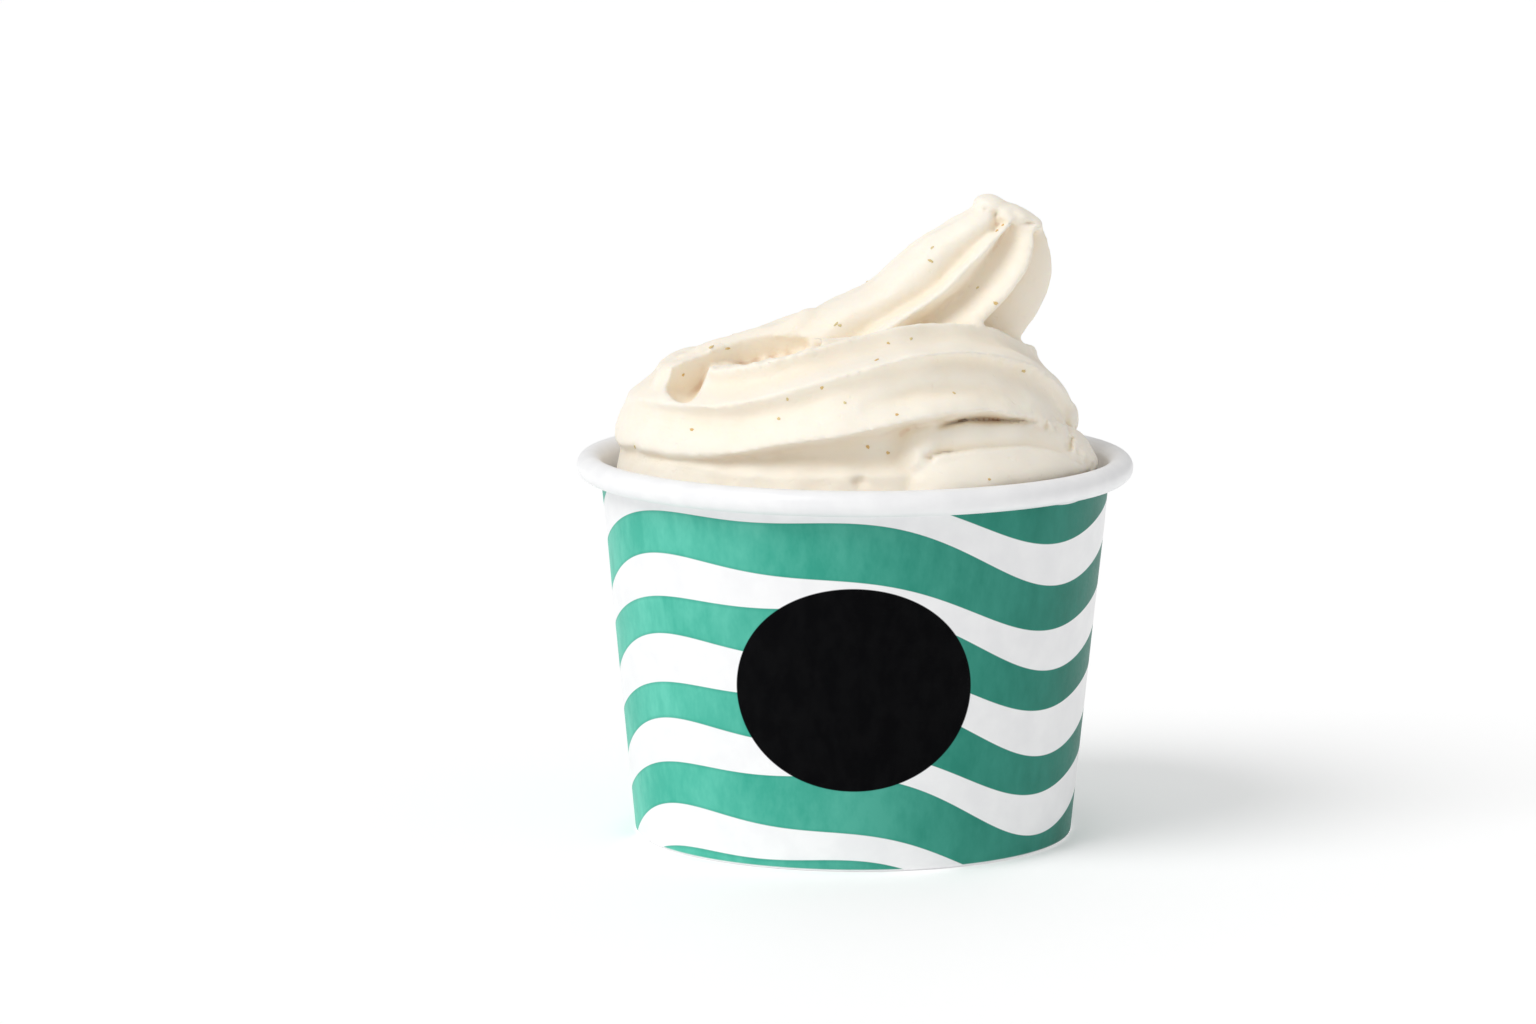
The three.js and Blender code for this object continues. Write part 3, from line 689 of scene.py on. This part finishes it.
# What lies inside the turns and under them: radius and height
fill_rows = [(0.02, 47.0), (39.2, 47.0), (39.4, 50.0), (24, 56), (17, 66), (9, 76), (0.02, 78)]
round_angles = np.linspace(0, 2 * np.pi, 96, endpoint=False)
yogurt_corners, yogurt_faces = fused("yogurt", [
    rope(layer_rows, ends=0.2),
    rope(swirl_rows, swirl_offset, cut=torn, shape=(700, 420)),
    *[rope(unfluted(rows, ledge_square), ends=ledge_ends, tilt=ledge_tilt, shape=(160, 80))
      for rows in (upper_ledge_rows, lower_ledge_rows)],
    fold(fold_rows),
    peak(peak_rows, peak_valleys, 160, 320),
    *[lump(*row) for row in lump_rows],
    turned(fill_rows, round_angles),
], hollow(), voxel=0.45, smoothing=1)


def outward(corners, faces):
    """Direction out of the skin at each corner: the mean of its faces' crossed diagonals."""
    across = np.cross(corners[faces[:, 2]] - corners[faces[:, 0]],
                      corners[faces[:, 3]] - corners[faces[:, 1]])
    total = np.stack([np.bincount(faces.ravel(), np.repeat(across[:, k], 4), len(corners))
                      for k in range(3)], -1)
    return total / np.linalg.norm(total, axis=1, keepdims=True).clip(1e-9)


def averaged(values, faces, rounds):
    """Each corner's values, replaced that many times by the mean over the faces round it."""
    count = np.bincount(faces.ravel(), minlength=len(values)).clip(1)[:, None]
    for _ in range(rounds):
        face_mean = values[faces].mean(1)
        values = np.stack([np.bincount(faces.ravel(), np.repeat(face_mean[:, k], 4), len(values))
                           for k in range(values.shape[1])], -1) / count
    return values


def near(points, path):
    """Distance of each point from a path of corners, and the part of the path, 0 to 1, that is
    nearest to it."""
    path = np.array(path, float)
    starts, legs = path[:-1], np.diff(path, axis=0)
    along = (((points[:, None] - starts) * legs).sum(-1) / (legs ** 2).sum(-1)).clip(0, 1)
    distance = np.linalg.norm(points[:, None] - starts - along[..., None] * legs, axis=-1)
    best = distance.argmin(1)[:, None]
    part = (best + np.take_along_axis(along, best, 1)) / len(legs)
    return np.take_along_axis(distance, best, 1)[:, 0], part[:, 0]


def uneven(points, size, seed, count=12):
    """Smooth unevenness between about -1 and 1, with features of that size: the sum of a count of
    plane waves of random direction and phase, over the count's square root and 1.4."""
    dice = np.random.default_rng(seed)
    waves = dice.normal(size=(count, 3))
    waves *= 2 * np.pi / size / np.linalg.norm(waves, axis=1, keepdims=True)
    phases = dice.uniform(0, 2 * np.pi, count)
    return np.sin(points @ waves.T + phases).sum(1) / count ** 0.5 / 1.4


def closed_below(corners, faces, level, radius, height):
    """The skin above a level, carried straight down from its cut edge to a circle of that radius
    at that height and closed there. Gives the corners, the faces of the skin and those below."""
    kept = faces[(corners[faces][..., 2] > level).all(1)]
    ends = np.concatenate([kept, np.roll(kept, -1, axis=1)]).reshape(2, -1)
    there, back = ends[0] * len(corners) + ends[1], ends[1] * len(corners) + ends[0]
    start, end = ends[:, ~np.isin(there, back)]
    used, kept = np.unique(kept, return_inverse=True)
    place = np.full(len(corners), -1)
    place[used] = np.arange(len(used))
    start, end = place[start], place[end]
    corners = corners[used]
    low = np.full(len(corners), -1)
    low[start] = len(corners) + np.arange(len(start))
    plan = corners[start, :2]
    foot = np.column_stack([plan * radius / np.linalg.norm(plan, axis=1, keepdims=True),
                            np.full(len(start), height)])
    middle = len(corners) + len(start)
    corners = np.concatenate([corners, foot, [[0, 0, height]]])
    walls = np.stack([end, start, low[start], low[end]], -1)
    base = np.stack([low[end], low[start], np.full(len(start), middle)], -1)
    return corners, kept.reshape(-1, 4), walls.tolist() + base.tolist()


out = outward(yogurt_corners, yogurt_faces)
sight = (yogurt_corners - eye) / np.linalg.norm(yogurt_corners - eye, axis=1, keepdims=True)
facing = ease(-(out * sight).sum(1), 0.0, 0.2)
places = seen(yogurt_corners)

# Top edges of the ledges, crisp: what lies above such a line is set back, most just over it. A row
# gives the line, how far back, and how fast that fades upwards.
edge_soft, edge_ceiling = 0.25, 76.0
edge_rows = [
    ([(12.0, 64.2), (13.0, 65.0), (15.0, 65.4), (19.0, 65.9), (23.0, 66.2), (27.6, 66.4), (30.7, 65.9),
      (33.3, 65.1), (34.2, 64.2), (35.8, 63.4)], 1.7, 2.6),
    ([(15.4, 70.0), (17.5, 70.4), (20.2, 70.4), (23.5, 70.3), (29.0, 70.3), (31.0, 70.6), (32.9, 70.0),
      (34.1, 68.7)], 0.8, 1.6),
]
low_enough = yogurt_corners[:, 2] < edge_ceiling
across, up = places.T
for path, depth, fade in edge_rows:
    path = np.array(path)
    above = up - np.interp(across, *path.T)
    starts = ease(across, path[0, 0] - 0.6, path[0, 0] + 1.5)
    stops = ease(across, path[-1, 0] - 0.5, path[-1, 0] + 0.8)
    set_back = depth * ease(above, -edge_soft, edge_soft) * np.exp(-above.clip(0) / fade)
    set_back = set_back * (starts * (1 - stops)) * facing * low_enough
    yogurt_corners = yogurt_corners + sight * set_back[:, None]

# Creases, pits and, where the depth is negative, small bumps and the crisp second ridge: path,
# half width and depth, shallower to the ends of those that have more than two points
mark_rows = [
    ([(12.6, 69.3), (15.4, 70.1), (17.5, 70.6), (20.2, 70.7), (23.5, 70.6), (29.0, 70.5)], 0.45, 3.4),
    ([(29.8, 70.1), (29.9, 69.7)], 0.5, 1.4),
    ([(31.0, 70.6), (31.3, 70.5)], 0.7, -0.5),
    ([(34.2, 68.2), (33.9, 67.0), (34.1, 65.5)], 0.45, 2.2),
    ([(11.6, 64.7), (11.9, 64.5)], 0.5, 1.2),
    ([(12.0, 65.3), (15.2, 65.6)], 0.35, 0.5),
    ([(9.9, 65.6), (9.7, 63.8)], 0.9, -0.4),
    ([(2.2, 61.3), (0.6, 60.6), (-0.2, 60.0)], 0.9, 0.8),
    ([(-34.8, 66.2), (-34.4, 65.9)], 0.5, 0.9),
    ([(-33.9, 65.2), (-31.0, 64.4), (-24.4, 64.2), (-18, 64.6)], 0.7, 0.5),
    ([(0.8, 78.3), (4.8, 79.8), (8.6, 80.9), (13.3, 81.3), (18.0, 81.4), (22.4, 81.0),
      (25.9, 80.0), (30.0, 78.6)], 0.6, -1.0),
    ([(0.8, 72.8), (5.5, 73.5), (10.2, 74.8), (14.9, 75.3), (19.7, 75.1), (23.4, 74.4),
      (27.5, 72.9)], 1.8, 2.0),
    ([(22.6, 80.6), (22.9, 80.2)], 0.4, 0.4),
    ([(21.9, 103.2), (21.7, 100.8)], 0.45, 0.9),
    ([(20.2, 104.0), (21.8, 103.3)], 0.45, 0.5),
    ([(22.6, 101.9), (24.0, 101.6)], 0.45, 0.9),
    ([(24.6, 103.3), (25.4, 102.6)], 0.6, 0.5),
    ([(26.2, 102.0), (28.6, 101.8)], 0.45, 0.9),
]
for path, width, depth in mark_rows:
    distance, part = near(places, path)
    taper = 1 - np.abs(2 * part - 1) ** 3 * (len(path) > 2)
    press = depth * np.exp(-(distance / width) ** 2) * taper * facing
    yogurt_corners = yogurt_corners + sight * press[:, None]

# Torn edges are ragged, most where they face the front; the rest is only a little uneven. A row
# gives the edge, half the width of the ragged stretch and its depth.
torn_rows = [
    ([(-23.0, 78.7), (-21.9, 79.5), (-16.9, 79.1), (-14.5, 80.0), (-10.6, 80.7), (-5.2, 82.6)], 0.8, 0.28),
    ([(22.0, 101.9), (23.8, 101.6), (28.9, 101.9)], 0.7, 0.2),
    ([(28.0, 70.2), (32.9, 70.1), (34.2, 68.6), (34.6, 66.0), (38.2, 63.4)], 0.9, 0.35),
    ([(-28.0, 80.6), (-26.0, 81.7), (-21.3, 82.1)], 0.8, 0.22),
    ([(23.0, 79.8), (28.8, 78.4)], 1.0, 0.15),
    ([(29.0, 81.0), (30.4, 78.4)], 0.9, 0.3),
]
ragged = uneven(yogurt_corners, 2.4, 3) + 0.6 * uneven(yogurt_corners, 1.3, 4)
rough = 0.13 * uneven(yogurt_corners, 7.0, 1) + 0.04 * uneven(yogurt_corners, 2.4, 2)
turned_to = (0.15 + 0.85 * facing) * ease(-yogurt_corners[:, 1], -12, 0)
for path, width, depth in torn_rows:
    distance = near(places, path)[0]
    rough = rough + ragged * depth * np.exp(-(distance / width) ** 2) * turned_to
yogurt_corners = yogurt_corners + out * rough[:, None]

# Well under the rim nothing shows: there the yogurt tapers like the tub, clear of wall and disc
hidden_level, base_radius, base_height = 49.2, 34.7, 6.05
yogurt_corners, yogurt_faces, hidden_faces = closed_below(
    yogurt_corners, yogurt_faces, hidden_level, base_radius, base_height)
yogurt = new_piece("yogurt", yogurt_corners, yogurt_faces.tolist() + hidden_faces)

# Milky, with painted shade: a warm, darker tint where the surface runs in, and a painted brown shadow at
# the bottom of a crease
sunk = averaged(yogurt_corners, yogurt_faces, 30) - yogurt_corners
sunk = (sunk * outward(yogurt_corners, yogurt_faces)).sum(1, keepdims=True)
sunk = averaged(sunk, yogurt_faces, 2)[:, 0]
yogurt.data.attributes.new("sunk", "FLOAT", "POINT").data.foreach_set("value", sunk)
yogurt_material, yogurt_tree, yogurt_shader = new_material(
    "yogurt", (0.94, 0.87, 0.745), 0.5, Specular_IOR_Level=0.3, Subsurface_Weight=0.25,
    Subsurface_Radius=(1.0, 0.72, 0.45), Subsurface_Scale=2.5 * MM)
yogurt_place = node(yogurt_tree, "TexCoord").outputs["Object"]
yogurt_sunk = node(yogurt_tree, "Attribute", attribute_name="sunk").outputs["Fac"]
cloud = noise(yogurt_tree, yogurt_place, 70, 3)
milk_and_painted_shade = mottled(yogurt_tree, cloud, 0.35, 0.65, (0.95, 0.885, 0.78, 1), (0.937, 0.858, 0.742, 1))
# Painted shade: warmer, darker cream where the surface runs in
milk_and_painted_shade = mottled(yogurt_tree, yogurt_sunk, -0.1, 0.7, milk_and_painted_shade, (0.925, 0.82, 0.66, 1))
# Painted shadow: dark brown at the bottom of a deep crease
milk_and_painted_shade = mottled(yogurt_tree, yogurt_sunk, 0.62, 1.1, milk_and_painted_shade, (0.58, 0.27, 0.09, 1))
yogurt_tree.links.new(milk_and_painted_shade, yogurt_shader.inputs["Base Color"])
wet = noise(yogurt_tree, yogurt_place, 420, 2)
yogurt_tree.links.new(span(yogurt_tree, wet, 0.3, 0.7, 0.42, 0.6), yogurt_shader.inputs["Roughness"])
flow_lines = noise(yogurt_tree, yogurt_place, 500, 2, stretch=(0.2, 0.2, 1.3))
grain = noise(yogurt_tree, yogurt_place, 1500, 3)
pits = span(yogurt_tree, noise(yogurt_tree, yogurt_place, 800, 1), 0.66, 0.78)
relief(yogurt_tree, yogurt_shader, [(flow_lines, 0.10), (grain, 0.035), (pits, -0.05)])
yogurt.data.materials.append(yogurt_material)
add_to_tub(yogurt, "yogurt", "frozen_yogurt")


# Specks. Golden brown and olive grains, half a millimetre to one millimetre long, stirred into the
# yogurt, some of which show at the surface.

def grains(middles, outs, half_sizes, dice, shape=(7, 10)):
    """Closed grains: spheres whose radius swells and dips by sums of sines, times the half sizes
    along the skin, across and out of it, each turned at random about the way out."""
    count = len(middles)
    rise = np.radians(np.linspace(-84, 84, shape[0]))[None, :, None]
    turn = np.linspace(0, 2 * np.pi, shape[1], endpoint=False)[None, None, :]
    phase = dice.uniform(0, 2 * np.pi, (3, count, 1, 1))
    swell = 1 + 0.16 * np.sin(2 * turn + phase[0] + rise) + 0.12 * np.sin(3 * turn + phase[1])
    swell = swell + 0.10 * np.sin(5 * turn + phase[2] - 2 * rise)
    ball = np.stack([np.cos(rise) * np.cos(turn) * swell, np.cos(rise) * np.sin(turn) * swell,
                     np.sin(rise) * swell], -1) * half_sizes[:, None, None, :]
    along = np.cross(outs, dice.normal(size=(count, 3)))
    along = along / np.linalg.norm(along, axis=1, keepdims=True)
    frames = np.stack([along, np.cross(outs, along), outs], 1)
    return np.einsum("nrck,nkj->nrcj", ball, frames) + middles[:, None, None, :]


# Those at the front lie at these places as they are seen, on the nearest skin in reach; the others
# are scattered over the back, above the rim
speck_reach, beyond_all = 0.4, 99.0
scattered_specks, scatter_height = 60, 60
speck_half_sizes = ((0.24, 0.50), (0.18, 0.36), (0.07, 0.10))
speck_places = np.array([
    (11.8, 98.0), (11.8, 96.1), (21.8, 89.5), (19.1, 91.9), (-3.2, 85.9), (-2.4, 85.9), (5.3, 83.0),
    (9.1, 83.6), (3.4, 80.4), (-26.8, 77.3), (-25.8, 69.3), (-12.4, 70.7), (-1.9, 73.4), (6.3, 71.7),
    (15.7, 75.1), (26.7, 78.5), (22.8, 101.8), (22.0, 100.9), (2.4, 66.4), (5.6, 65.5), (-35.0, 66.1),
    (-22.7, 82.4), (-20.2, 82.1), (-10.6, 73.7), (-5.4, 75.3), (21.5, 61.4)])
skin_out = outward(yogurt_corners, yogurt_faces)
shown = np.linalg.norm(skin_out, axis=1) > 0.5
forward = (skin_out * (eye - yogurt_corners)).sum(1) > 0
off = np.linalg.norm(speck_places[:, None] - seen(yogurt_corners), axis=2)
close = (off < speck_reach) & shown & forward
front_specks = np.where(close, yogurt_corners[:, 1], beyond_all).argmin(1)
speck_dice = np.random.default_rng(11)
behind = np.flatnonzero(shown & ~forward & (yogurt_corners[:, 2] > scatter_height))
back_specks = speck_dice.choice(behind, scattered_specks, replace=False)
chosen = np.concatenate([front_specks, back_specks])
speck_sizes = np.stack([speck_dice.uniform(*sizes, len(chosen)) for sizes in speck_half_sizes], 1)
specks = joined("specks", grains(yogurt_corners[chosen], skin_out[chosen], speck_sizes, speck_dice))
speck_material, speck_tree, speck_shader = new_material(
    "specks", (0.60, 0.45, 0.19), 0.45, Specular_IOR_Level=0.4)
speck_place = node(speck_tree, "TexCoord").outputs["Object"]
speck_tone = mottled(speck_tree, noise(speck_tree, speck_place, 210, 1), 0.38, 0.62,
                     (0.72, 0.47, 0.18, 1), (0.70, 0.60, 0.31, 1))
speck_tree.links.new(speck_tone, speck_shader.inputs["Base Color"])
relief(speck_tree, speck_shader, [(noise(speck_tree, speck_place, 9000, 2), 0.03)])
specks.data.materials.append(speck_material)
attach(specks, "root")


# Floor, light and camera. A wide pale floor under one broad, soft light from the upper left front,
# as in a small studio, with light from all round to keep the shadows open.

floor_side, floor_front, floor_back = 4000, -2500, 6000
floor_material = new_material(
    "floor", (0.9, 0.9, 0.9), 0.7, Emission_Color=(1, 1, 1, 1), Emission_Strength=0.2)[0]
floor = new_piece("floor", [
    (-floor_side, floor_front, 0), (floor_side, floor_front, 0),
    (floor_side, floor_back, 0), (-floor_side, floor_back, 0)], [(0, 1, 2, 3)], floor_material)


def aimed(place, target):
    """Matrix of a light that stands at a place and looks at a target."""
    back = np.asarray(place, float) - target
    back /= np.linalg.norm(back)
    right = np.cross([0, 0, 1.0], back)
    right /= np.linalg.norm(right)
    up = np.cross(back, right)
    rows = [[*axes, at] for axes, at in zip(np.stack([right, up, back], 1), place)]
    return Matrix([*rows, [0, 0, 0, 1]])


sun = bpy.data.lights.new("key light", "SUN")
sun.energy, sun.angle = 1.5, 0.6
key = bpy.data.objects.new("key light", sun)
key_place, key_target = (-0.60, -0.46, 0.85), (0, 0, 0.06)
key.matrix_world = aimed(key_place, key_target)
bpy.context.scene.collection.objects.link(key)

world = bpy.data.worlds.new("studio")
world.use_nodes = True
sky = world.node_tree.nodes["Background"]
sky.inputs["Color"].default_value = (1, 1, 1, 1)
sky.inputs["Strength"].default_value = 0.58
bpy.context.scene.world = world
bpy.context.scene.view_settings.view_transform = "Standard"

frame_width = 1536
camera_place = (0, -1.001, 0.20255)
camera_yaw, camera_pitch, camera_roll = 0.014, -0.1492, 0.0027
focal_pixels = 6248.3
camera_data = bpy.data.cameras.new("camera")
camera_data.sensor_width = 36
camera_data.lens = camera_data.sensor_width * focal_pixels / frame_width
camera = bpy.data.objects.new("camera", camera_data)
camera.matrix_world = (
    Matrix.Translation(camera_place) @ Matrix.Rotation(camera_yaw, 4, "Z")
    @ Matrix.Rotation(np.pi / 2 + camera_pitch, 4, "X") @ Matrix.Rotation(camera_roll, 4, "Z"))
bpy.context.scene.collection.objects.link(camera)
bpy.context.scene.camera = camera
